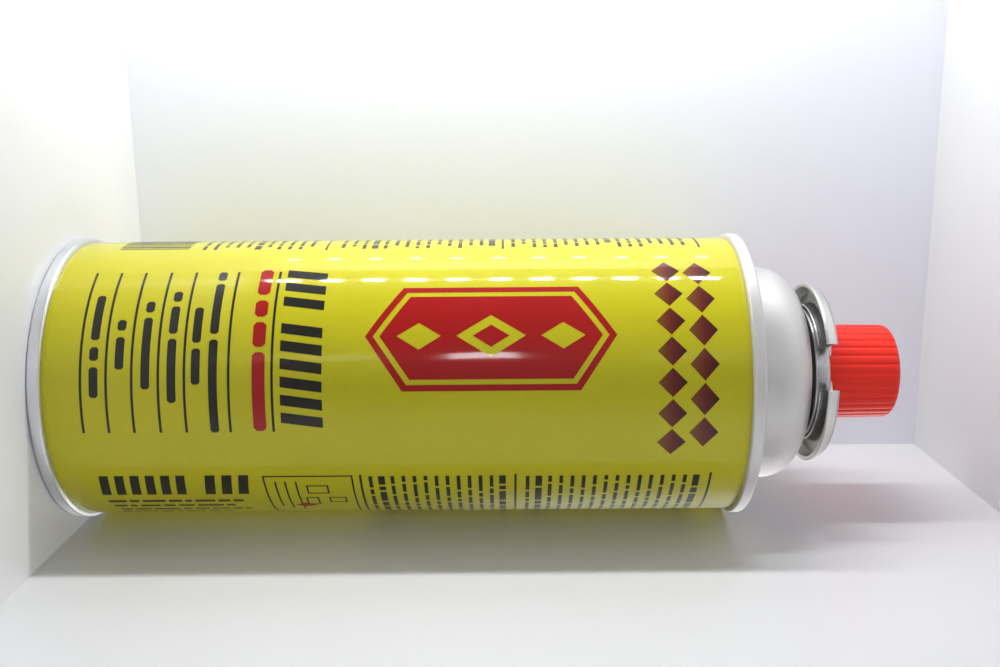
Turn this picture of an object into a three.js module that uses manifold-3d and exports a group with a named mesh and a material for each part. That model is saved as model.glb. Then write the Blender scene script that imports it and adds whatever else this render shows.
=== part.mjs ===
// Fuel canister: sealed gas can with a crimped valve cup, a notched mounting
// flange, a press-in valve stem and a ribbed push-on cap.
// Millimetres, +Z up, standing on its bottom seam, the flange's notch facing -Y.
import * as THREE from "three";
import { mergeVertices } from "three/addons/utils/BufferGeometryUtils.js";
import Module from "manifold-3d";

// Can body
const WALL_R = 32.9; // printed side wall
const SEAM_STEP = 0.95; // how far a double seam stands out from the wall
const SEAM_H = 2.95; // height of a double seam
const SEAM_T = 2.2; // width of the seam's edge, seen from its end
const CAN_H = 158.6; // seam edge to seam edge
const END_DEPTH = 4.2; // chuck wall of both ends, below the seam's edge
const BASE_RISE = 7.0; // the bottom curves inwards by this much

// Dome
const DOME_R = 25.6; // its upright foot
const DOME_EDGE = 9.0; // radius of its shoulder
const DOME_RISE = 14.9; // rolled mouth above the top seam's edge
const DOME_SLOPE = 0.3; // fall of the crown from the mouth outwards
const MOUTH_R = 12.9; // opening for the valve cup
const BEAD_W = 2.9; // flat top of the rolled mouth

// Valve cup and its gasket
const GASKET_T = 1.05;
const CUP_T = 0.4; // sheet
const CURL_W = 3.25; // width of the curl that grips the mouth
const CURL_H = 3.4;
const CURL_EDGE = 1.1; // rounding of the curl
const RECESS = 5.9; // recess inside the curl
const CUP_CORNER = 0.8; // between the recess's wall and floor
const PEDESTAL_R = 6.2;
const PEDESTAL_H = 5.7;

// Mounting flange: a sheet channel, open below, with a hemmed skirt
const FLANGE_T = 0.5;
const FLANGE_R = 21.8; // widest, at the folded rim
const FLANGE_TAPER = 0.9; // how much narrower its top is
const FLANGE_H = 3.1;
const FLANGE_LIP = 1.6; // the top plate reaches this far in over the curl
const FLANGE_HEM = 0.9; // width of the skirt's turned-in edge
const COLLAR_DROP = 0.45; // the inner collar reaches this far below the skirt
const NOTCH_W = 10.5;
const NOTCH_FLARE = 1.2; // each corner of the notch opens by this much at the rim

// Valve
const STEM_R = 2.0;
const STEM_RISE = 8.7; // tip above the pedestal
const STEM_BORE_R = 0.9;
const STEM_BORE_DEPTH = 6.0;
const SHOULDER_R = 3.4;
const SHOULDER_T = 2.2;
const SPIGOT_R = 1.4;
const SPIGOT_L = 3.0;
const STEM_GASKET_T = 1.2;
const HOUSING_L = 15.0;
const HOUSING_WALL = 1.2;
const WIRE_R = 0.28;
const SPRING_R = 2.65;
const SPRING_TURNS = 7;

// Cap
const CAP_R = 11.5; // crests of the ribs, at their lower end
const CAP_TAPER = 0.2; // narrower at its top by this much
const CAP_H = 23.85;
const CAP_WALL = 1.2;
const CAP_TOP_T = 1.3;
const CAP_EDGE = 1.6; // rounding of the top edge
const CAP_BEAD = 4.4; // height of the plug that snaps into the cup
const RIBS = 34;
const RIB_DEPTH = 0.28;

// Clearances
const FIT = 0.3; // between formed pieces
const RUN = 0.02; // spring ends to their seats

// Levels and radii that follow from the sizes above
const SEAM_R = WALL_R + SEAM_STEP;
const CHUCK_R = SEAM_R - SEAM_T;
const Z_MOUTH = CAN_H + DOME_RISE;
const Z_CURL = Z_MOUTH + GASKET_T;
const Z_CURL_TOP = Z_CURL + CURL_H;
const CUP_WALL_R = MOUTH_R - FIT;
const CURL_R = CUP_WALL_R + CURL_W;
const Z_FLOOR = Z_CURL_TOP - RECESS;
const Z_PEDESTAL = Z_FLOOR + PEDESTAL_H;
const Z_STEM_GASKET = Z_PEDESTAL - CUP_T - STEM_GASKET_T;
const HOUSING_R = PEDESTAL_R - CUP_T - FIT;
const Z_HOUSING = Z_STEM_GASKET - HOUSING_L;
const Z_SHOULDER = Z_STEM_GASKET - SHOULDER_T;
const Z_FLANGE_TOP = Z_CURL_TOP + FLANGE_T;
const Z_FLANGE = Z_FLANGE_TOP - FLANGE_H;
const COLLAR_R = CURL_R + FIT;
const PLUG_R = CUP_WALL_R - CUP_T - FIT;

const wasm = await Module();
wasm.setup();

const v = (r, z) => new THREE.Vector2(r, z);

// Points on an arc about (r, z), from one angle to another in degrees.
function arc(r, z, radius, from, to, steps = 6) {
  const out = [];
  for (let i = 0; i <= steps; i++) {
    const a = THREE.MathUtils.degToRad(from + ((to - from) * i) / steps);
    out.push(v(r + radius * Math.cos(a), z + radius * Math.sin(a)));
  }
  return out;
}

// A profile turned about Z; its first slice lies on -Y.
function turned(points, slices = 96) {
  return new THREE.LatheGeometry(points, slices).rotateX(Math.PI / 2);
}

// A closed profile, such as a ring's section.
const ring = (points, slices) => turned([...points, points[0].clone()], slices);

function toSolid(geometry) {
  const g = geometry.clone();
  g.deleteAttribute("normal");
  g.deleteAttribute("uv");
  const merged = mergeVertices(g, 1e-4);
  return new wasm.Manifold(
    new wasm.Mesh({
      numProp: 3,
      vertProperties: merged.attributes.position.array,
      triVerts: new Uint32Array(merged.index.array),
    }),
  );
}

function toGeometry(solid) {
  const m = solid.getMesh();
  const g = new THREE.BufferGeometry();
  g.setAttribute("position", new THREE.BufferAttribute(new Float32Array(m.vertProperties), 3));
  g.setIndex(new THREE.BufferAttribute(new Uint32Array(m.triVerts), 1));
  g.computeVertexNormals();
  return g;
}

// Printed wall, both double seams, the inward-curved bottom and the dome,
// with a well at the mouth for the valve.
function sealedCan() {
  const chuckIn = CHUCK_R - 0.9;
  const baseFoot = chuckIn - 1.2;
  const edge = Math.min(SEAM_STEP, SEAM_H / 2) * 0.8;
  const slope = Math.atan(1 / DOME_SLOPE);
  const crownR = DOME_R - DOME_EDGE;
  const crownEnd = crownR + DOME_EDGE * Math.cos(slope);
  const beadR = MOUTH_R + BEAD_W;
  const crownZ = Z_MOUTH - 0.15 - DOME_SLOPE * (crownEnd - beadR);
  const domeZ = crownZ - DOME_EDGE * Math.sin(slope);
  const grooveZ = CAN_H - END_DEPTH;
  const well = Z_FLOOR - CUP_T - FIT;
  return turned(
    [
      // inward-curved bottom, then down its chuck wall
      v(0, END_DEPTH + BASE_RISE),
      v(baseFoot * 0.4, END_DEPTH + BASE_RISE * 0.88),
      v(baseFoot * 0.77, END_DEPTH + BASE_RISE * 0.42),
      v(baseFoot, END_DEPTH),
      v(chuckIn + 0.3, END_DEPTH - 0.5),
      v(CHUCK_R, 0.4),
      v(CHUCK_R + 0.4, 0),
      // bottom seam
      ...arc(SEAM_R - edge, edge, edge, -90, 0, 2),
      ...arc(SEAM_R - edge, SEAM_H - edge * 1.4, edge, 0, 60, 2),
      v(WALL_R, SEAM_H),
      // side wall and top seam
      v(WALL_R, CAN_H - SEAM_H),
      ...arc(SEAM_R - edge, CAN_H - SEAM_H + edge * 1.4, edge, -60, 0, 2),
      ...arc(SEAM_R - edge, CAN_H - edge, edge, 0, 90, 2),
      v(CHUCK_R + 0.4, CAN_H),
      v(CHUCK_R, CAN_H - 0.4),
      // groove inside the seam, then the dome
      v(chuckIn + 0.4, grooveZ + 0.5),
      v(chuckIn - 1.0, grooveZ),
      v(DOME_R + 2.2, grooveZ + 0.1),
      v(DOME_R + 1.1, grooveZ + 1.0),
      v(DOME_R + 0.35, grooveZ + 3.6),
      ...arc(crownR, domeZ, DOME_EDGE, 0, THREE.MathUtils.radToDeg(slope), 6),
      // rolled mouth and the well
      v(beadR, Z_MOUTH),
      v(MOUTH_R + 0.3, Z_MOUTH),
      v(MOUTH_R, Z_MOUTH - 0.4),
      v(MOUTH_R, well),
      v(HOUSING_R + FIT, well),
      v(HOUSING_R + FIT, Z_HOUSING - FIT),
      v(0, Z_HOUSING - FIT),
    ],
    60,
  );
}

// Rubber ring between the rolled mouth and the curl.
function cupGasket() {
  const inner = MOUTH_R + 0.5;
  const outer = CURL_R - 0.5;
  return ring([v(inner, Z_MOUTH), v(outer, Z_MOUTH), v(outer, Z_CURL), v(inner, Z_CURL)], 24);
}

// Pressed cup: curl, recess and pedestal in one sheet.
function valveCup() {
  const wallIn = CUP_WALL_R - CUP_T;
  const holeR = STEM_R + 0.5;
  const c = CURL_EDGE;
  const under = Z_FLOOR - CUP_T;
  const pedIn = PEDESTAL_R - CUP_T;
  return ring(
    [
      v(CUP_WALL_R, Z_CURL),
      ...arc(CURL_R - c, Z_CURL + c, c, -90, 0, 3),
      ...arc(CURL_R - c, Z_CURL_TOP - c, c, 0, 90, 3),
      ...arc(wallIn + c, Z_CURL_TOP - c, c, 90, 180, 3),
      v(wallIn, Z_FLOOR + CUP_CORNER),
      v(wallIn - CUP_CORNER, Z_FLOOR),
      v(PEDESTAL_R + 0.6, Z_FLOOR),
      v(PEDESTAL_R, Z_FLOOR + 0.6),
      ...arc(PEDESTAL_R - 1.2, Z_PEDESTAL - 1.2, 1.2, 0, 90, 2),
      v(holeR, Z_PEDESTAL),
      v(holeR, Z_PEDESTAL - CUP_T),
      v(pedIn - 0.3, Z_PEDESTAL - CUP_T),
      v(pedIn, Z_PEDESTAL - CUP_T - 0.9),
      v(pedIn, under + 0.5),
      v(pedIn + 0.4, under),
      v(CUP_WALL_R - 0.6, under),
      v(CUP_WALL_R, under + 0.6),
    ],
    44,
  );
}

// The channel's section: collar, top plate with its lip over the curl, tapered
// skirt and the skirt's turned-in edge.
function flangeSection() {
  const t = FLANGE_T;
  const topR = FLANGE_R - FLANGE_TAPER;
  const lipR = CURL_R - FLANGE_LIP;
  const top = Z_FLANGE_TOP;
  const foot = Z_FLANGE - COLLAR_DROP;
  return [
    v(COLLAR_R, foot),
    v(COLLAR_R + t, foot),
    v(COLLAR_R + t, top - t * 1.6),
    v(COLLAR_R + t * 1.6, top - t),
    v(topR - t * 1.3, top - t),
    v(topR - t * 0.9, top - t * 1.4),
    v(FLANGE_R - t * 1.15, Z_FLANGE + t * 1.2),
    v(FLANGE_R - FLANGE_HEM, Z_FLANGE + t),
    v(FLANGE_R - FLANGE_HEM, Z_FLANGE + t * 0.2),
    ...arc(FLANGE_R - t, Z_FLANGE + t, t, -90, 10, 3),
    ...arc(topR - t, top - t, t, 15, 90, 3),
    v(lipR, top),
    v(lipR, top - t),
    v(COLLAR_R, top - t),
  ];
}

// Outline of the notch from above, opening towards the rim.
function notchShape() {
  const w = NOTCH_W / 2;
  const floor = -(CURL_R - FLANGE_LIP - FIT);
  const corner = 0.8;
  const flareY = -(FLANGE_R - FLANGE_TAPER - 0.1);
  const s = new THREE.Shape();
  s.moveTo(-w + corner, floor);
  s.lineTo(w - corner, floor);
  s.quadraticCurveTo(w, floor, w, floor - corner);
  s.lineTo(w, flareY);
  s.lineTo(w + NOTCH_FLARE, -FLANGE_R);
  s.lineTo(w + NOTCH_FLARE, -FLANGE_R - 5);
  s.lineTo(-w - NOTCH_FLARE, -FLANGE_R - 5);
  s.lineTo(-w - NOTCH_FLARE, -FLANGE_R);
  s.lineTo(-w, flareY);
  s.lineTo(-w, floor - corner);
  s.quadraticCurveTo(-w, floor, -w + corner, floor);
  return s;
}

function mountingFlange() {
  const cutter = new THREE.ExtrudeGeometry(notchShape(), {
    depth: FLANGE_H + 4,
    bevelEnabled: false,
    curveSegments: 6,
  }).translate(0, 0, Z_FLANGE - 2);
  const whole = toSolid(ring(flangeSection(), 64));
  return toGeometry(whole.subtract(toSolid(cutter)));
}

function stemGasket() {
  const inner = STEM_R + FIT;
  const low = Z_STEM_GASKET;
  const high = low + STEM_GASKET_T;
  const outer = HOUSING_R - 0.2;
  return ring([v(inner, low), v(outer, low), v(outer, high), v(inner, high)], 24);
}

// Plastic cup that holds the spring and the stem's foot, with an inlet below.
function valveHousing() {
  const inner = HOUSING_R - HOUSING_WALL;
  return ring(
    [
      v(1.0, Z_HOUSING),
      v(HOUSING_R - 0.8, Z_HOUSING),
      v(HOUSING_R, Z_HOUSING + 0.8),
      v(HOUSING_R, Z_STEM_GASKET),
      v(inner, Z_STEM_GASKET),
      v(inner, Z_HOUSING + HOUSING_WALL),
      v(1.0, Z_HOUSING + HOUSING_WALL),
    ],
    32,
  );
}

// Compression spring with closed ends.
function valveSpring() {
  const low = Z_HOUSING + HOUSING_WALL + WIRE_R + RUN;
  const high = Z_SHOULDER - WIRE_R - RUN;
  const steps = SPRING_TURNS * 14;
  const sides = 6;
  const position = [];
  const index = [];
  const pitch = (high - low) / SPRING_TURNS;
  for (let i = 0; i <= steps; i++) {
    const a = (i / steps) * SPRING_TURNS * 2 * Math.PI;
    const z = low + (pitch * a) / (2 * Math.PI);
    for (let j = 0; j < sides; j++) {
      const b = (j / sides) * 2 * Math.PI;
      const r = SPRING_R + WIRE_R * Math.cos(b);
      position.push(r * Math.cos(a), r * Math.sin(a), z + WIRE_R * Math.sin(b));
    }
  }
  const at = (i, j) => i * sides + (j % sides);
  for (let i = 0; i < steps; i++)
    for (let j = 0; j < sides; j++) {
      index.push(at(i, j), at(i + 1, j), at(i + 1, j + 1));
      index.push(at(i, j), at(i + 1, j + 1), at(i, j + 1));
    }
  for (let j = 1; j < sides - 1; j++) {
    index.push(0, j, j + 1);
    index.push(at(steps, 0), at(steps, j + 1), at(steps, j));
  }
  const g = new THREE.BufferGeometry();
  g.setAttribute("position", new THREE.Float32BufferAttribute(position, 3));
  g.setIndex(index);
  g.computeVertexNormals();
  return g;
}

// Hollow stem with a sealing shoulder and a spigot for the spring.
function valveStem() {
  const tip = Z_PEDESTAL + STEM_RISE;
  return turned(
    [
      v(0, Z_SHOULDER - SPIGOT_L),
      v(SPIGOT_R - 0.3, Z_SHOULDER - SPIGOT_L),
      v(SPIGOT_R, Z_SHOULDER - SPIGOT_L + 0.3),
      v(SPIGOT_R, Z_SHOULDER),
      v(SHOULDER_R, Z_SHOULDER),
      v(SHOULDER_R, Z_STEM_GASKET),
      v(STEM_R, Z_STEM_GASKET),
      v(STEM_R, tip - 0.5),
      v(STEM_R - 0.4, tip),
      v(STEM_BORE_R, tip),
      v(STEM_BORE_R, tip - STEM_BORE_DEPTH),
      v(0, tip - STEM_BORE_DEPTH - 0.4),
    ],
    24,
  );
}

// Ribbed cap: a turned shell; one slice in three is drawn in between the ribs.
function cap() {
  const low = Z_FLOOR;
  const top = low + CAP_H;
  const e = CAP_EDGE;
  const topR = CAP_R - CAP_TAPER;
  const bead = low + CAP_BEAD;
  const inTopR = topR - CAP_WALL;
  const smooth = [
    v(0, top - CAP_TOP_T),
    v(inTopR, top - CAP_TOP_T),
    v(CAP_R - CAP_WALL, low),
    v(PLUG_R - CUP_CORNER, low),
    v(PLUG_R, low + CUP_CORNER),
    v(PLUG_R, bead - 0.5),
    v(CAP_R - RIB_DEPTH, bead),
  ];
  const ribbed = [
    v(CAP_R, bead + 0.35),
    ...arc(topR - e, top - e, e, 0, 60, 3),
  ];
  const crown = [v(topR - e * 0.9, top), v(0, top)];
  const profile = [...smooth, ...ribbed, ...crown];
  const geometry = turned(profile, RIBS * 3);
  const p = geometry.attributes.position;
  for (let i = 0; i < p.count; i++) {
    const along = i % profile.length;
    const slice = Math.floor(i / profile.length);
    if (along < smooth.length || along >= smooth.length + ribbed.length) continue;
    if (slice % 3 !== 1) continue;
    const r = Math.hypot(p.getX(i), p.getY(i));
    const k = (r - RIB_DEPTH) / r;
    p.setXY(i, p.getX(i) * k, p.getY(i) * k);
  }
  geometry.computeVertexNormals();
  return geometry;
}

function piece(name, geometry, color, roughness, metalness) {
  const material = new THREE.MeshStandardMaterial({ color, roughness, metalness });
  const mesh = new THREE.Mesh(geometry, material);
  mesh.name = name;
  return mesh;
}

const canister = new THREE.Group();
canister.name = "fuel_canister";
canister.add(piece("sealed_can", sealedCan(), 0xbdb52a, 0.3, 0.2));
canister.add(piece("cup_gasket", cupGasket(), 0x2a2422, 0.8, 0));
canister.add(piece("valve_cup", valveCup(), 0xb9bcc0, 0.25, 1));
canister.add(piece("mounting_flange", mountingFlange(), 0xc2c4c2, 0.3, 1));
canister.add(piece("stem_gasket", stemGasket(), 0x1d1d1f, 0.8, 0));
canister.add(piece("valve_housing", valveHousing(), 0xe8e6df, 0.5, 0));
canister.add(piece("valve_spring", valveSpring(), 0xa9abad, 0.35, 1));
canister.add(piece("valve_stem", valveStem(), 0xc9a85a, 0.3, 1));
canister.add(piece("cap", cap(), 0xc92a1c, 0.35, 0));

export default canister;
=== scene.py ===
"""Fuel canister: the dressed part, its light box and the photograph's camera."""

import math

import bmesh
import bpy
from mathutils import Matrix, Vector


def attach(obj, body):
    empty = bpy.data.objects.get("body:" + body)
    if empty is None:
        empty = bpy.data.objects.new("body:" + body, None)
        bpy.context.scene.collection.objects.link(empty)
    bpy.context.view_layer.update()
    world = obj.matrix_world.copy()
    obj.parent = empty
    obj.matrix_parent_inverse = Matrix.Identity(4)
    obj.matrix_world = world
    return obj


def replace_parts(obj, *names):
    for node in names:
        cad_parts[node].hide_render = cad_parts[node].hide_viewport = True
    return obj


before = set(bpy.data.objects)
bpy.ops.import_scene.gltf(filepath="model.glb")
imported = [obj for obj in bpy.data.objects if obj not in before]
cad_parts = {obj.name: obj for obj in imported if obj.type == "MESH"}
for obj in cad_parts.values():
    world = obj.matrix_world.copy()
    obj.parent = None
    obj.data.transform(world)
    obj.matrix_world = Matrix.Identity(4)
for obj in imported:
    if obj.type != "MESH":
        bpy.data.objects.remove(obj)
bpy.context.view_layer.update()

MM = 0.001

# Sizes in millimetres, as in the part's source
WALL_R, SEAM_R, SEAM_H, SEAM_T, CAN_H = 32.9, 33.85, 2.95, 2.2, 158.6
CHUCK_R, END_DEPTH, BASE_RISE = 31.65, 4.2, 7.0
DOME_R, DOME_EDGE, DOME_SLOPE = 25.6, 9.0, 0.3
MOUTH_R, BEAD_W, Z_MOUTH = 12.9, 2.9, 173.5
Z_CURL, Z_CURL_TOP, CURL_R, CUP_R, CUP_T = 174.55, 177.95, 15.85, 12.6, 0.4
Z_FLOOR, Z_PEDESTAL, PEDESTAL_R = 172.05, 177.75, 6.2
Z_FLANGE, Z_FLANGE_TOP, FLANGE_R, FLANGE_T, FLANGE_TAPER = 175.35, 178.45, 21.8, 0.5, 0.9
FLANGE_LIP, FLANGE_HEM, COLLAR_R, Z_COLLAR = 1.6, 0.9, 16.15, 174.9
NOTCH_W, NOTCH_FLARE = 10.5, 1.2
CAP_R, CAP_TAPER, CAP_H, CAP_WALL, CAP_TOP_T = 11.5, 0.2, 23.85, 1.2, 1.3
CAP_EDGE, CAP_BEAD, PLUG_R, RIBS, RIB_DEPTH = 1.6, 4.4, 11.9, 34, 0.28
STEM_R, SHOULDER_R, Z_STEM_TIP, Z_SHOULDER = 2.0, 3.4, 186.45, 173.95

# Print: how deep ink shapes are sunk in the wall, how far they stand proud,
# the width of the strips that bend them round it, and the heading's rows in metres
INK_SUNK, INK_PROUD, INK_STRIP = 0.06, 0.02, 1.3
HEADING_FOOT, HEADING_ROW = 0.1352, 0.0069


# Meshes


def arc(r, z, radius, start, stop, steps=8):
    """Points of an arc in a turned profile, angles in degrees from outwards to up."""
    out = []
    for i in range(steps + 1):
        a = math.radians(start + (stop - start) * i / steps)
        out.append((r + radius * math.cos(a), z + radius * math.sin(a)))
    return out


def keep_mesh(name, bm, material, body, sharp=38):
    """Ends a bmesh as a smooth-shaded piece that rides on a body."""
    for f in bm.faces:
        f.smooth = True
    for e in bm.edges:
        if len(e.link_faces) == 2 and e.calc_face_angle(0) > math.radians(sharp):
            e.smooth = False
    mesh = bpy.data.meshes.new(name)
    bm.to_mesh(mesh)
    bm.free()
    piece = bpy.data.objects.new(name, mesh)
    bpy.context.scene.collection.objects.link(piece)
    mesh.materials.append(material)
    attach(piece, body)
    return piece


def turn(points, steps=192, closed=True):
    """A profile of (radius, height) spun about the can's axis, starting on -Y."""
    bm = bmesh.new()
    verts = [bm.verts.new((0, -r * MM, z * MM)) for r, z in points]
    edges = [bm.edges.new(pair) for pair in zip(verts, verts[1:])]
    if closed:
        edges.append(bm.edges.new((verts[-1], verts[0])))
    bmesh.ops.spin(
        bm,
        geom=verts + edges,
        cent=(0, 0, 0),
        axis=(0, 0, 1),
        angle=math.tau,
        steps=steps,
        use_merge=True,
        use_duplicate=False,
    )
    bmesh.ops.remove_doubles(bm, verts=bm.verts, dist=1e-7)
    bmesh.ops.recalc_face_normals(bm, faces=bm.faces)
    return bm


# Materials


class Finish:
    """Short hand for building one material's nodes."""

    def __init__(self, name, **values):
        self.mat = bpy.data.materials.new(name)
        self.mat.use_nodes = True
        self.tree = self.mat.node_tree
        self.shader = self.tree.nodes["Principled BSDF"]
        self.coord = self.tree.nodes.new("ShaderNodeTexCoord").outputs["Object"]
        for key, value in values.items():
            self.shader.inputs[key.replace("_", " ")].default_value = value

    def link(self, a, b):
        self.tree.links.new(a, b)

    def noise(self, scale, detail=3.0, stretch=(1, 1, 1)):
        mapping = self.tree.nodes.new("ShaderNodeMapping")
        mapping.inputs["Scale"].default_value = stretch
        self.link(self.coord, mapping.inputs["Vector"])
        noise = self.tree.nodes.new("ShaderNodeTexNoise")
        noise.inputs["Scale"].default_value = scale
        noise.inputs["Detail"].default_value = detail
        self.link(mapping.outputs["Vector"], noise.inputs["Vector"])
        return noise.outputs["Fac"]

    def height(self):
        split = self.tree.nodes.new("ShaderNodeSeparateXYZ")
        self.link(self.coord, split.inputs[0])
        return split.outputs["Z"]

    def math(self, kind, value, by):
        node = self.tree.nodes.new("ShaderNodeMath")
        node.operation = kind
        self.link(value, node.inputs[0])
        node.inputs[1].default_value = by
        return node.outputs[0]

    def spread(self, value, low, high, start=0.3, stop=0.7):
        node = self.tree.nodes.new("ShaderNodeMapRange")
        node.inputs["From Min"].default_value = start
        node.inputs["From Max"].default_value = stop
        node.inputs["To Min"].default_value = low
        node.inputs["To Max"].default_value = high
        self.link(value, node.inputs["Value"])
        return node.outputs["Result"]

    def blend(self, value, dark, light):
        node = self.tree.nodes.new("ShaderNodeMix")
        node.data_type = "RGBA"
        self.link(value, node.inputs[0])
        node.inputs[6].default_value = (*dark, 1)
        node.inputs[7].default_value = (*light, 1)
        return node.outputs[2]

    def colour(self, socket):
        self.link(socket, self.shader.inputs["Base Color"])
        return self

    def rough(self, socket):
        self.link(socket, self.shader.inputs["Roughness"])
        return self

    def bump(self, height, distance, strength=1.0):
        node = self.tree.nodes.new("ShaderNodeBump")
        node.inputs["Distance"].default_value = distance
        node.inputs["Strength"].default_value = strength
        self.link(height, node.inputs["Height"])
        self.link(node.outputs["Normal"], self.shader.inputs["Normal"])
        return self


def lacquer(name, dark, light):
    """Glossy printed lacquer on tinplate, its colour and gloss a little uneven."""
    n = Finish(name, Coat_Weight=0.7, Coat_Roughness=0.07, Specular_IOR_Level=0.1)
    n.colour(n.blend(n.spread(n.noise(24, 2), 0, 1), dark, light))
    n.rough(n.spread(n.noise(500, 3), 0.32, 0.42))
    n.bump(n.noise(28, 0, (1, 1, 0.3)), 0.00012, 0.5)
    return n.mat


def tinplate(name, light, dark, low, high, metallic=1.0, drawn=9):
    """Bare tinned steel, satin, with fine forming marks round the axis."""
    n = Finish(name, Metallic=metallic)
    n.colour(n.blend(n.spread(n.noise(60, 3), 0, 1), dark, light))
    n.rough(n.spread(n.noise(90, 4, (1, 1, drawn)), low, high))
    n.bump(n.noise(900, 2, (1, 1, drawn / 3)), 0.00001, 0.25)
    return n.mat


yellow_print = lacquer("yellow_lacquer", (0.50, 0.46, 0.004), (0.54, 0.495, 0.006))
black_print = lacquer("black_ink", (0.011, 0.010, 0.005), (0.018, 0.017, 0.008))
red_print = lacquer("red_ink", (0.34, 0.003, 0.002), (0.38, 0.004, 0.003))

# The heading's ink runs from brown at its lower edge to nearly black above
faded_ink = Finish("heading_ink", Coat_Weight=0.7, Coat_Roughness=0.07, Specular_IOR_Level=0.1)
share = faded_ink.math("SUBTRACT", faded_ink.height(), HEADING_FOOT)
share = faded_ink.math("FRACT", faded_ink.math("MULTIPLY", share, 1 / HEADING_ROW), 0.0)
lower = faded_ink.blend(faded_ink.spread(share, 0, 1, 0.02, 0.5), (0.17, 0.075, 0.006), (0.13, 0.012, 0.006))
upper = faded_ink.tree.nodes.new("ShaderNodeMix")
upper.data_type = "RGBA"
upper.inputs[7].default_value = (0.03, 0.005, 0.004, 1)
faded_ink.link(faded_ink.spread(share, 0, 1, 0.45, 0.95), upper.inputs[0])
faded_ink.link(lower, upper.inputs[6])
faded_ink.colour(upper.outputs[2])
faded_ink.rough(faded_ink.spread(faded_ink.noise(500, 3), 0.32, 0.42))
faded_ink = faded_ink.mat

seam_tin = tinplate("seam_tinplate", (0.82, 0.83, 0.86), (0.74, 0.75, 0.78), 0.26, 0.4)
dome_tin = tinplate("dome_lacquered_tinplate", (0.72, 0.705, 0.69), (0.65, 0.635, 0.62), 0.44, 0.54, 0.7, 3)
cup_tin = tinplate("cup_tinplate", (0.60, 0.60, 0.61), (0.5, 0.5, 0.51), 0.2, 0.32)
flange_tin = tinplate("flange_tinplate", (0.80, 0.79, 0.77), (0.72, 0.71, 0.69), 0.28, 0.42)
# A darker copy of the flange tinplate: painted shade for the channel under the flange
channel_painted_shade_tin = tinplate("flange_channel_painted_shade", (0.46, 0.46, 0.43), (0.36, 0.36, 0.34), 0.3, 0.42)


def plastic(name, dark, light, low, high, gloss=0.5):
    """Moulded plastic or rubber, its colour and gloss a little uneven."""
    n = Finish(name, Specular_IOR_Level=gloss)
    n.colour(n.blend(n.spread(n.noise(120, 3), 0, 1), dark, light))
    n.rough(n.spread(n.noise(400, 3), low, high))
    n.bump(n.noise(1500, 2), 0.00002, 0.2)
    return n.mat


cap_red = plastic("cap_plastic", (0.84, 0.018, 0.006), (0.90, 0.023, 0.008), 0.36, 0.46, 0.35)
rubber = plastic("black_rubber", (0.012, 0.011, 0.011), (0.03, 0.027, 0.026), 0.6, 0.8)
white_plastic = plastic("housing_plastic", (0.70, 0.69, 0.64), (0.78, 0.77, 0.72), 0.42, 0.55)
stem_brass = tinplate("stem_brass", (0.72, 0.55, 0.26), (0.62, 0.46, 0.2), 0.2, 0.34)
spring_steel = tinplate("spring_steel", (0.62, 0.62, 0.62), (0.5, 0.5, 0.5), 0.25, 0.4)


# The can: printed wall, top end with its dome, bottom end


def side_wall():
    neck = 0.22
    rise = [(neck, -0.3), (neck, 0.1), (0.05, 0.75), (0, 1.2)]
    outer = [(WALL_R - inset, SEAM_H + up) for inset, up in rise]
    outer += [(WALL_R, CAN_H / 2)]
    outer += [(WALL_R - inset, CAN_H - SEAM_H - up) for inset, up in reversed(rise)]
    inner = [(WALL_R - 0.5, CAN_H - SEAM_H + 0.3), (WALL_R - 0.5, SEAM_H - 0.3)]
    return keep_mesh("side_wall", turn(outer + inner, 256), yellow_print, "can")


def seam_outline():
    """A double seam's section, heights from its lower edge: wall side, outside, over the edge."""
    edge = 0.72
    pts = [(WALL_R - 0.2, -0.02), (WALL_R + 0.12, -0.05), (WALL_R + 0.4, 0.08)]
    pts += arc(SEAM_R - 0.45, 0.62, 0.45, -60, 0, 4)
    pts += [(SEAM_R - 0.02, SEAM_H - edge - 0.45)]
    pts += arc(SEAM_R - edge, SEAM_H - edge, edge, 0, 90, 7)
    pts += arc(SEAM_R - SEAM_T + edge, SEAM_H - edge, edge, 90, 180, 6)
    return pts


def top_end():
    groove = CAN_H - END_DEPTH
    slope = math.atan(1 / DOME_SLOPE)
    crown = DOME_R - DOME_EDGE
    crown_end = crown + DOME_EDGE * math.cos(slope)
    bead = MOUTH_R + BEAD_W
    crown_z = Z_MOUTH - 0.15 - DOME_SLOPE * (crown_end - bead)
    dome_z = crown_z - DOME_EDGE * math.sin(slope)
    pts = [(r, CAN_H - SEAM_H + h) for r, h in seam_outline()]
    pts += [(CHUCK_R - 0.25, groove + 1.6)]
    pts += arc(CHUCK_R - 1.55, groove + 1.2, 1.2, 0, -90, 6)
    pts += arc(DOME_R + 2.1, groove + 1.8, 1.8, -90, -165, 6)
    pts += [(DOME_R + 0.2, groove + 4.4)]
    pts += arc(crown, dome_z, DOME_EDGE, 0, math.degrees(slope), 24)
    pts += arc(bead - 0.5, Z_MOUTH - 0.5, 0.5, 60, 90, 3)
    pts += arc(MOUTH_R + 0.5, Z_MOUTH - 0.5, 0.5, 90, 180, 5)
    under = [(MOUTH_R, Z_MOUTH - 1.9), (MOUTH_R + 0.9, Z_MOUTH - 2.1), (crown_end, crown_z - 0.9)]
    under += arc(crown, dome_z, DOME_EDGE - 0.9, math.degrees(slope), 0, 10)
    under += [(DOME_R - 0.7, groove + 4.0), (DOME_R + 0.9, groove - 0.2), (DOME_R + 2.1, groove - 0.6)]
    under += [(CHUCK_R - 1.5, groove - 0.6), (CHUCK_R + 0.2, groove + 0.6), (CHUCK_R + 0.4, CAN_H - SEAM_H)]
    return keep_mesh("top_end", turn(pts + under, 224), dome_tin, "can", 50)


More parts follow.
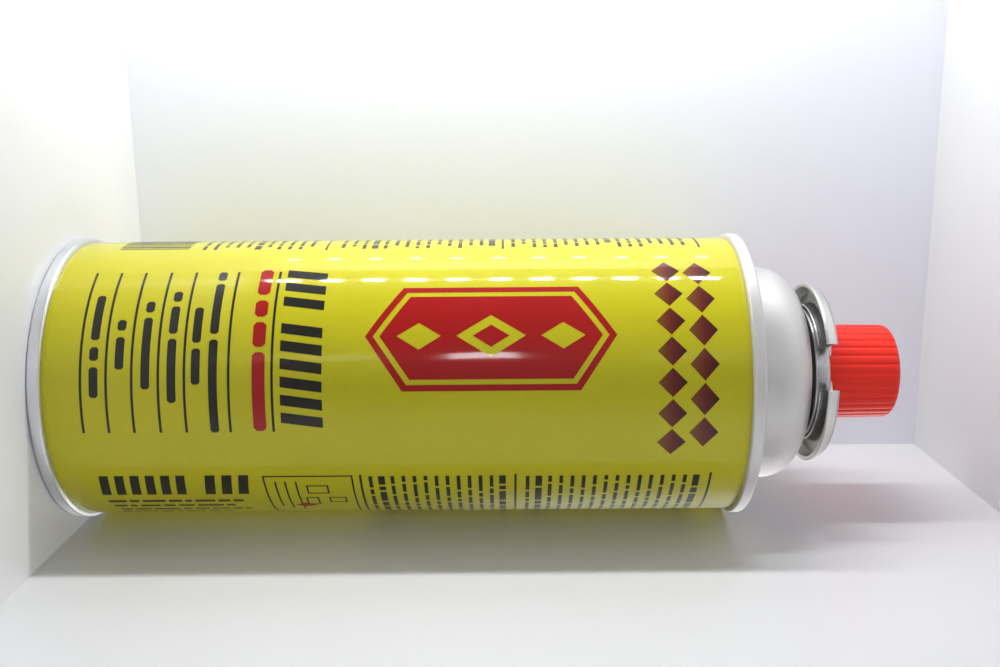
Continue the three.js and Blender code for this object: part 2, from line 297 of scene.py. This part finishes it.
def bottom_end():
    foot = CHUCK_R - 2.0
    pts = [(r, SEAM_H - h) for r, h in seam_outline()]
    pts += arc(CHUCK_R - 1.2, END_DEPTH - 1.0, 1.0, 0, 90, 6)
    panel = []
    for k in range(13):
        t = k / 12
        panel.append((foot * (1 - t), END_DEPTH + BASE_RISE * math.sin(t * math.pi / 2) ** 1.15))
    above = [(r, z + 0.35) for r, z in reversed(panel)]
    above += [(CHUCK_R - 0.6, END_DEPTH + 0.4), (CHUCK_R + 0.35, END_DEPTH - 0.6), (CHUCK_R + 0.4, SEAM_H)]
    return keep_mesh("bottom_end", turn(pts + panel + above, 224), seam_tin, "can", 50)


for shell in (side_wall(), top_end(), bottom_end()):
    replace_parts(shell, "sealed_can")


# Print on the wall: x runs round the can from -Y, y up it, both in millimetres


def wrapped(name, loops, material, lift=INK_PROUD):
    """Flat shapes laid round the wall as a thin coat of ink; holes are loops inside loops."""
    bm = bmesh.new()
    for group in loops:
        edges = []
        for outline in group:
            verts = [bm.verts.new((x, y, -INK_SUNK)) for x, y in outline]
            edges += [bm.edges.new(pair) for pair in zip(verts, verts[1:] + verts[:1])]
        bmesh.ops.triangle_fill(bm, edges=edges, use_beauty=True, normal=(0, 0, 1))
    xs = [v.co.x for v in bm.verts]
    for k in range(math.ceil(min(xs) / INK_STRIP), math.floor(max(xs) / INK_STRIP) + 1):
        geom = bm.verts[:] + bm.edges[:] + bm.faces[:]
        place = (k * INK_STRIP, 0, 0)
        bmesh.ops.bisect_plane(bm, geom=geom, dist=1e-5, plane_co=place, plane_no=(1, 0, 0))
    raised = bmesh.ops.extrude_face_region(bm, geom=bm.faces[:])
    up = [g for g in raised["geom"] if isinstance(g, bmesh.types.BMVert)]
    bmesh.ops.translate(bm, verts=up, vec=(0, 0, INK_SUNK + lift))
    bmesh.ops.recalc_face_normals(bm, faces=bm.faces)
    for v in bm.verts:
        a, r = v.co.x / WALL_R, (WALL_R + v.co.z) * MM
        v.co = (r * math.sin(a), -r * math.cos(a), v.co.y * MM)
    return keep_mesh(name, bm, material, "can", 25)


def deg(angle):
    return math.radians(angle) * WALL_R


def bar(x0, x1, y0, y1, corner=0.25):
    """A bar with clipped corners."""
    c = corner * min(x1 - x0, y1 - y0)
    return [
        (x0 + c, y0), (x1 - c, y0), (x1, y0 + c), (x1, y1 - c),
        (x1 - c, y1), (x0 + c, y1), (x0, y1 - c), (x0, y0 + c),
    ]  # fmt: skip


def box(x0, x1, y0, y1):
    return [(x0, y0), (x1, y0), (x1, y1), (x0, y1)]


def lozenge(x, y, w, h):
    return [(x, y - h / 2), (x + w / 2, y), (x, y + h / 2), (x - w / 2, y)]


def slanted(x0, x1, y0, y1, lean):
    return [(x0, y0), (x1, y0), (x1 + lean, y1), (x0 + lean, y1)]


def long_hexagon(x, y, w, h, shoulder):
    a, b = w / 2, h / 2
    return [(x, y - b), (x + a, y - b + shoulder), (x + a, y + b - shoulder),
            (x, y + b), (x - a, y + b - shoulder), (x - a, y - b + shoulder)]  # fmt: skip


def dashes(x0, x1, y, tall, start, gap=0.75):
    """A broken line of bars between x0 and x1, from a repeating run of lengths."""
    lengths = (4.1, 2.2, 5.3, 3.0, 1.5, 4.6, 2.7, 3.7, 6.0, 2.0, 3.3)
    out, x, k = [], x0, start
    while x < x1 - 1.2:
        end = min(x + lengths[k % len(lengths)], x1)
        out.append([box(x, end, y - tall / 2, y + tall / 2)])
        x, k = end + gap, k + 1
    return out


def black_shapes():
    out = []
    left, right = deg(-42.5), deg(24.1)
    for z in (11.4, 16.9, 22.4, 28.1, 33.7, 43.2, 52.5):
        out.append([box(left, right, z - 0.28, z + 0.28)])
    rows = {
        14.2: [(-30.3, -11.5), (-8.8, -3.6), (-1.2, 10.3)],
        19.7: [(-19.5, -15.2), (-12.6, -0.3)],
        25.3: [(-27.4, -22.6), (-20.4, 7.2)],
        30.9: [(-32.0, -27.3), (-25.2, -13.8), (-11.8, 12.4)],
        36.1: [(-24.6, -10.2), (-8.0, 5.6)],
        39.8: [(-42.4, -37.6), (-35.8, -13.6), (-11.4, 24.2)],
    }
    for z, words in rows.items():
        for a, b in words:
            out.append([bar(deg(a), deg(b), z - 0.95, z + 0.95)])
    # two groups of slanted stripes over the rules, and two along the lower side
    for a, b, count in ((-43.4, -22.4, 3), (-17.8, 23.2, 6)):
        pitch = (deg(b) - deg(a)) / count
        for k in range(count):
            x = deg(a) + k * pitch
            out.append([slanted(x, x + pitch * 0.6, 54.2, 63.2, pitch * 0.32)])
    low, high = deg(44.4), deg(56.8)
    for z0, z1, count in ((11.2, 31.6, 6), (34.6, 45.8, 3)):
        pitch = (z1 - z0) / count
        for k in range(count):
            z = z0 + k * pitch
            near, far = [(high, z), (high, z + pitch * 0.62)], [(low, z + pitch * 0.9), (low, z + pitch * 0.3)]
            out.append([near + far])
    columns = ((62.5, 11.5, 42.5, 0), (67.5, 12, 40, 3), (72.5, 12.5, 43, 6), (77.5, 12, 38, 1))
    for x, z0, z1, start in columns:
        for shape in dashes(z0, z1, deg(x), 1.1, start):
            out.append([[(y, z) for z, y in shape[0]]])
    # framed panel
    a, b = deg(45.0), deg(86)
    out.append([box(a, b, 48.4, 68.5), box(a + 0.4, b - 0.4, 48.8, 68.1)])
    for z, reach in ((51, 14), (53.2, 15.5), (55.6, 17)):
        out.append([box(a + 2, a + reach, z - 0.2, z + 0.2)])
    for x, z, w, h in ((51, 60.2, 3.4, 5), (60, 64.2, 3, 4), (60, 58.4, 4.2, 3)):
        x0, x1, z0, z1 = deg(x), deg(x) + w, z - h / 2, z + h / 2
        out.append([box(x0, x1, z0, z1), box(x0 + 0.4, x1 - 0.4, z0 + 0.4, z1 - 0.4)])
    # fine print down both sides
    for z in (70.2, 104.7, 148.0):
        out.append([box(deg(44.8), deg(138), z - 0.25, z + 0.25)])
    for z in (61.3, 102.3, 147.8):
        out.append([box(deg(-140), deg(-59.2), z - 0.25, z + 0.25)])
    for k in range(13):
        reach = 136 - 9 * (k % 4 == 1)
        out += dashes(deg(45.6), deg(reach), 72.4 + 2.45 * k, 1.5 if k in (1, 12) else 0.85, 3 * k)
    for k in range(16):
        reach = 136 - 7 * (k % 5 == 2)
        out += dashes(deg(46.0), deg(reach), 107.4 + 2.5 * k, 1.5 if k in (1, 15) else 0.85, 5 * k + 2)
    for k in range(46):
        z = 32.8 + 2.48 * k
        if min(abs(z - 61.3), abs(z - 102.3)) > 1.3 and z < 146.5:
            a, b = -138 + 8 * (k % 3), -60.5 - 3 * (k % 4 == 2)
            out += dashes(deg(a), deg(b), z, 1.5 if k % 11 == 5 else 0.85, 4 * k + 1)
    x = deg(-61.5)
    for w in (0.5, 0.9, 0.4, 0.4, 1.1, 0.5, 0.8, 0.4, 0.6, 1.2, 0.4, 0.7, 0.5, 0.9):
        out.append([box(x - w, x, 13, 29.2)])
        x -= w + 0.55
    return out


def red_shapes():
    out = []
    for a, b in ((-43.5, -30.2), (-27.6, -20.4), (-18.2, -8.4), (-6.4, 23.7)):
        out.append([bar(deg(a), deg(b), 48.2, 51.0)])
    x, z = deg(-12.1), 99.6
    out.append([long_hexagon(x, z, 24, 54.4, 8), long_hexagon(x, z, 21.2, 51.0, 7.2)])
    holes = [lozenge(x, z, 9.5, 15), lozenge(x, z + 15.6, 6, 9.5), lozenge(x, z - 15.6, 6, 9.5)]
    out.append([long_hexagon(x, z, 19, 48.2, 6.5)] + holes)
    out.append([lozenge(x, z, 5, 8)])
    out.append([lozenge(deg(68), 56.5, 3, 5)])
    return out


def heading_shapes():
    out = []
    for count, a, b, z in ((6, -46.5, 32.2, 145.4), (7, -46.9, 35.6, 138.5)):
        pitch = (deg(b) - deg(a)) / count
        for k in range(count):
            out.append([lozenge(deg(a) + (k + 0.5) * pitch, z, pitch * 0.94, 6.3)])
    return out


wrapped("black_print", black_shapes(), black_print)
wrapped("red_print", red_shapes(), red_print)
wrapped("heading_print", heading_shapes(), faded_ink)
weld = box(deg(180) - 1.9, deg(180) + 1.9, SEAM_H - 0.1, CAN_H - SEAM_H + 0.1)
wrapped("weld_strip", [[weld]], seam_tin, 0.03)


# Valve cup, mounting flange, stem and cap


def valve_cup():
    wall_in = CUP_R - CUP_T
    c = 1.25
    under = Z_FLOOR - CUP_T
    ped_in = PEDESTAL_R - CUP_T
    hole = STEM_R + 0.5
    pts = [(CUP_R, Z_CURL), (CURL_R - c, Z_CURL)]
    pts += arc(CURL_R - 0.4, Z_CURL + 0.1, 0.4, -120, 0, 6)
    pts += arc(CURL_R - c, Z_CURL_TOP - c, c, 0, 90, 8)
    pts += arc(wall_in + c, Z_CURL_TOP - c, c, 90, 180, 8)
    pts += arc(wall_in - 0.8, Z_FLOOR + 0.8, 0.8, 0, -90, 5)
    pts += arc(PEDESTAL_R + 0.6, Z_FLOOR + 0.6, 0.6, -90, -180, 4)
    pts += arc(PEDESTAL_R - 1.2, Z_PEDESTAL - 1.2, 1.2, 0, 90, 6)
    pts += arc(hole + 0.2, Z_PEDESTAL - 0.2, 0.2, 90, 180, 3)
    pts += [(hole, Z_PEDESTAL - CUP_T)]
    pts += arc(ped_in - 0.8, Z_PEDESTAL - CUP_T - 0.8, 0.8, 90, 0, 4)
    pts += [(ped_in, under + 0.5), (ped_in + 0.4, under), (CUP_R - 0.6, under), (CUP_R, under + 0.6)]
    return keep_mesh("pressed_cup", turn(pts, 160), cup_tin, "can")


def flange_section():
    t = FLANGE_T
    top_r = FLANGE_R - FLANGE_TAPER
    lip = CURL_R - FLANGE_LIP
    top = Z_FLANGE_TOP
    pts = arc(COLLAR_R + t / 2, Z_COLLAR + t / 2, t / 2, 180, 360, 6)
    pts += arc(COLLAR_R + t + 0.8, top - t - 0.8, 0.8, 180, 90, 5)
    pts += arc(top_r - 1.1, top - 1.1, 0.6, 90, 16, 5)
    pts += [(FLANGE_R - t * 1.15, Z_FLANGE + t * 1.2)]
    pts += arc(FLANGE_R - FLANGE_HEM, Z_FLANGE + t * 0.6, t * 0.4, 90, 270, 5)
    pts += arc(FLANGE_R - t, Z_FLANGE + t, t, -80, 12, 8)
    pts += arc(top_r - 1.1, top - 1.1, 1.1, 16, 90, 8)
    pts += arc(lip + t / 2, top - t / 2, t / 2, 90, 270, 6)
    pts += [(COLLAR_R - 0.2, top - t)]
    return pts


def notch_cutter():
    """The notch's outline from above, raised through the flange."""
    w, floor = NOTCH_W / 2, -(CURL_R - FLANGE_LIP - 0.3)
    flare_y = -(FLANGE_R - FLANGE_TAPER - 0.1)
    right = [(w - 0.8, floor), (w - 0.23, floor - 0.23), (w, floor - 0.8), (w, flare_y)]
    right += [(w + 0.35, flare_y - 0.45), (w + NOTCH_FLARE, -FLANGE_R), (w + NOTCH_FLARE, -FLANGE_R - 5)]
    bm = bmesh.new()
    outline = right + [(-x, y) for x, y in reversed(right)]
    face = bm.faces.new([bm.verts.new((x * MM, y * MM, (Z_FLANGE - 2) * MM)) for x, y in outline])
    raised = bmesh.ops.extrude_face_region(bm, geom=[face])
    up = [v for v in raised["geom"] if isinstance(v, bmesh.types.BMVert)]
    bmesh.ops.translate(bm, verts=up, vec=(0, 0, (Z_FLANGE_TOP - Z_FLANGE + 4) * MM))
    bmesh.ops.recalc_face_normals(bm, faces=bm.faces)
    mesh = bpy.data.meshes.new("notch_cutter")
    bm.to_mesh(mesh)
    bm.free()
    cutter = bpy.data.objects.new("notch_cutter", mesh)
    bpy.context.scene.collection.objects.link(cutter)
    return cutter


def cut(piece, cutter):
    """Takes the cutter out of a piece for good."""
    mod = piece.modifiers.new("cut", "BOOLEAN")
    mod.operation, mod.solver, mod.object = "DIFFERENCE", "EXACT", cutter
    graph = bpy.context.evaluated_depsgraph_get()
    done = bpy.data.meshes.new_from_object(piece.evaluated_get(graph))
    old = piece.data
    piece.modifiers.clear()
    piece.data = done
    bpy.data.meshes.remove(old)
    bpy.data.objects.remove(cutter)


def ribbed_cap():
    low, high = Z_FLOOR, Z_FLOOR + CAP_H
    top_r, e = CAP_R - CAP_TAPER, CAP_EDGE
    bead = low + CAP_BEAD
    in_top = top_r - CAP_WALL
    pts = [(0, high - CAP_TOP_T), (in_top - 0.8, high - CAP_TOP_T)]
    pts += arc(in_top - 0.6, high - CAP_TOP_T - 0.6, 0.6, 75, 0, 3)
    pts += [(CAP_R - CAP_WALL, low + 0.3), (CAP_R - CAP_WALL + 0.3, low)]
    pts += [(PLUG_R - 0.8, low), (PLUG_R, low + 0.8), (PLUG_R, bead - 0.5), (CAP_R - RIB_DEPTH, bead)]
    steps = 14
    for k in range(steps + 1):
        pts.append((CAP_R + (top_r - CAP_R) * k / steps, bead + 0.35 + (high - e - bead - 0.35) * k / steps))
    pts += arc(top_r - e, high - e, e, 10, 90, 8)
    pts += [(top_r - e - 1.5, high - 0.02), (0, high - 0.05)]
    bm = turn(pts, RIBS * 12, closed=False)
    inner = top_r - e * 0.55
    for v in bm.verts:
        r, z = v.co.xy.length / MM, v.co.z / MM
        if z < bead + 0.2 or r < inner:
            continue
        wave = 0.5 - 0.5 * math.cos(RIBS * math.atan2(v.co.x, -v.co.y))
        v.co.xy *= 1 - RIB_DEPTH * 0.8 * wave**3.5 * min(1.0, (r - inner) / (e * 0.35)) / r
    return keep_mesh("ribbed_cap", bm, cap_red, "cap", 60)


def stem_tube():
    pts = [(0, Z_SHOULDER - 3.0), (1.1, Z_SHOULDER - 3.0), (1.4, Z_SHOULDER - 2.7), (1.4, Z_SHOULDER)]
    pts += [(SHOULDER_R - 0.2, Z_SHOULDER), (SHOULDER_R, Z_SHOULDER + 0.2), (SHOULDER_R, Z_SHOULDER + 2.2)]
    pts += [(STEM_R, Z_SHOULDER + 2.2)]
    pts += arc(STEM_R - 0.45, Z_STEM_TIP - 0.45, 0.45, 0, 90, 4)
    pts += arc(1.1, Z_STEM_TIP - 0.2, 0.2, 90, 180, 3)
    pts += [(0.9, Z_STEM_TIP - 6.0), (0, Z_STEM_TIP - 6.4)]
    return keep_mesh("stem_tube", turn(pts, 96, closed=False), stem_brass, "stem")


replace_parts(valve_cup(), "valve_cup")
flange = keep_mesh("notched_flange", turn(flange_section(), 240), flange_tin, "can")
cut(flange, notch_cutter())

# The open channel between skirt and collar gets a darker copy of the flange's metal: painted shade in that
# recess
flange.data.materials.append(channel_painted_shade_tin)
for face in flange.data.polygons:
    height = face.center.z / MM
    share = (height - Z_FLANGE) / (Z_FLANGE_TOP - Z_FLANGE)
    skirt_mid = FLANGE_R - FLANGE_T * 0.6 - FLANGE_TAPER * share
    in_channel = Z_FLANGE + FLANGE_T * 1.1 < height < Z_FLANGE_TOP - FLANGE_T * 0.6
    if in_channel and COLLAR_R + FLANGE_T * 0.6 < face.center.xy.length / MM < skirt_mid:
        face.material_index = 1
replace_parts(flange, "mounting_flange")
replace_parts(stem_tube(), "valve_stem")
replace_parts(ribbed_cap(), "cap")

# The rest of the valve keeps its CAD shapes
for node, material in {
    "cup_gasket": rubber,
    "stem_gasket": rubber,
    "valve_housing": white_plastic,
    "valve_spring": spring_steel,
}.items():
    obj = bpy.data.objects[node]
    obj.data.materials.clear()
    obj.data.materials.append(material)


# Light box. The can lay on its side for the photograph, so its floor is a
# wall here; each wall shows from the inside only.

DOWN = Vector((0.95765, 0.28779, 0.0)).normalized()
BACK = Vector((-DOWN.y, DOWN.x, 0.0))
ALONG = Vector((0, 0, 1))
BOARD_SHADE, BACK_SHADE = (0.70, 0.70, 0.71), (0.84, 0.86, 0.93)


def spot(back, high, along):
    """A place in the light box, in millimetres: behind the axis, above its floor, along the can."""
    return (BACK * back + DOWN * (SEAM_R - high) + ALONG * along) * MM


def board(name, corners, open_back=True, shade=BOARD_SHADE):
    """A flat pale board; with an open back it shows, and stops light, on its front alone."""
    bm = bmesh.new()
    bm.faces.new([bm.verts.new(p) for p in corners])
    mesh = bpy.data.meshes.new(name)
    bm.to_mesh(mesh)
    bm.free()
    piece = bpy.data.objects.new(name, mesh)
    bpy.context.scene.collection.objects.link(piece)
    mat = bpy.data.materials.new(name)
    mat.use_nodes = True
    tree = mat.node_tree
    shader = tree.nodes["Principled BSDF"]
    shader.inputs["Base Color"].default_value = (*shade, 1)
    shader.inputs["Roughness"].default_value = 0.35
    if open_back:
        clear = tree.nodes.new("ShaderNodeBsdfTransparent")
        mix = tree.nodes.new("ShaderNodeMixShader")
        side = tree.nodes.new("ShaderNodeNewGeometry")
        tree.links.new(side.outputs["Backfacing"], mix.inputs[0])
        tree.links.new(shader.outputs[0], mix.inputs[1])
        tree.links.new(clear.outputs[0], mix.inputs[2])
        tree.links.new(mix.outputs[0], tree.nodes["Material Output"].inputs[0])
        piece.visible_shadow = False
    mesh.materials.append(mat)
    return piece


# Back wall and open front from the axis, height, and end wall, which clears the raised cap
WALL, FRONT, TALL, END = 45, -420, 260, 223
FLOOR_HALF = 1.5
board("laid_floor", [spot(FRONT, 0, 0), spot(FRONT, 0, END), spot(WALL, 0, END), spot(WALL, 0, 0)])
board(
    "back_wall",
    [spot(WALL, 0, 0), spot(WALL, 0, END), spot(WALL, TALL, END), spot(WALL, TALL, 0)],
    shade=BACK_SHADE,
)
board(
    "end_wall",
    [spot(WALL, 0, END), spot(FRONT, 0, END), spot(FRONT, TALL, END), spot(WALL, TALL, END)],
)
floor_corners = [(FLOOR_HALF * x, FLOOR_HALF * y) for x, y in ((-1, -1), (1, -1), (1, 1), (-1, 1))]
board("standing_floor", [Vector((x, y, 0)) for x, y in floor_corners], open_back=False)

# The photograph's camera, fitted to the outlines of seams, flange and cap
camera = bpy.data.cameras.new("camera")
camera.lens = 37.315
camera.sensor_width = 36.0
camera.clip_start = 0.01
cam = bpy.data.objects.new("camera", camera)
bpy.context.scene.collection.objects.link(cam)
cam_right = Vector((0.00773144, 0.00314018, 0.99996518))
cam_down = Vector((0.99678723, 0.07969882, -0.00795715))
cam_ahead = Vector((-0.07972103, 0.99681404, -0.0025139))
cam.matrix_world = (
    Matrix.Translation((0.010488642, -0.25479588, 0.10207905))
    @ Matrix((cam_right, -cam_down, -cam_ahead)).transposed().to_4x4()
)
bpy.context.scene.camera = cam


def panel_light(name, place, aim, along, across, power, mirrored=True):
    """An oblong lamp, its long side along the can; unless mirrored, no gloss shows it."""
    data = bpy.data.lights.new(name, "AREA")
    data.shape, data.size, data.size_y = "RECTANGLE", along * MM, across * MM
    data.energy = power
    lamp = bpy.data.objects.new(name, data)
    bpy.context.scene.collection.objects.link(lamp)
    ahead = (aim - place).normalized()
    side = (ALONG - ahead * ahead.z).normalized()
    turned = Matrix((side, (-ahead).cross(side), -ahead)).transposed().to_4x4()
    lamp.matrix_world = Matrix.Translation(place) @ turned
    lamp.visible_camera = False
    lamp.visible_glossy = mirrored
    data.color = (0.965, 0.98, 1.0)


panel_light("strip", spot(5, 232, 104), spot(5, 0, 104), 156, 14, 0.27, False)
panel_light("front_panel", spot(-660, 382, 84), spot(0, 30, 84), 62, 56, 0.2)
panel_light("rear_fill", Vector((0.5, 0.62, 0.35)), Vector((0, 0, 0.1)), 500, 500, 3.6)

# The lamp strip's single lamps, and their glints off the back wall
for k in range(11):
    along = 15.2 + 18.0 * k
    panel_light(f"row_{k}", spot(7.3, 230, along), spot(7.3, 0, along), 8.5, 9, 0.017)
    along = 35.8 + 13.3 * k
    panel_light(f"glint_{k}", spot(40, 133, along), spot(10, 65, along), 4, 4, 0.0008)

world = bpy.data.worlds.new("studio")
world.use_nodes = True
nodes, links = world.node_tree.nodes, world.node_tree.links
pale = nodes["Background"]
pale.inputs[0].default_value = (0.85, 0.86, 0.88, 1)
dim = nodes.new("ShaderNodeBackground")
dim.inputs[0].default_value = (0.38, 0.383, 0.395, 1)
seen = nodes.new("ShaderNodeLightPath")
mix = nodes.new("ShaderNodeMixShader")
links.new(seen.outputs["Is Camera Ray"], mix.inputs[0])
links.new(dim.outputs[0], mix.inputs[1])
links.new(pale.outputs[0], mix.inputs[2])
links.new(mix.outputs[0], nodes["World Output"].inputs[0])
bpy.context.scene.world = world
bpy.context.scene.view_settings.view_transform = "Standard"
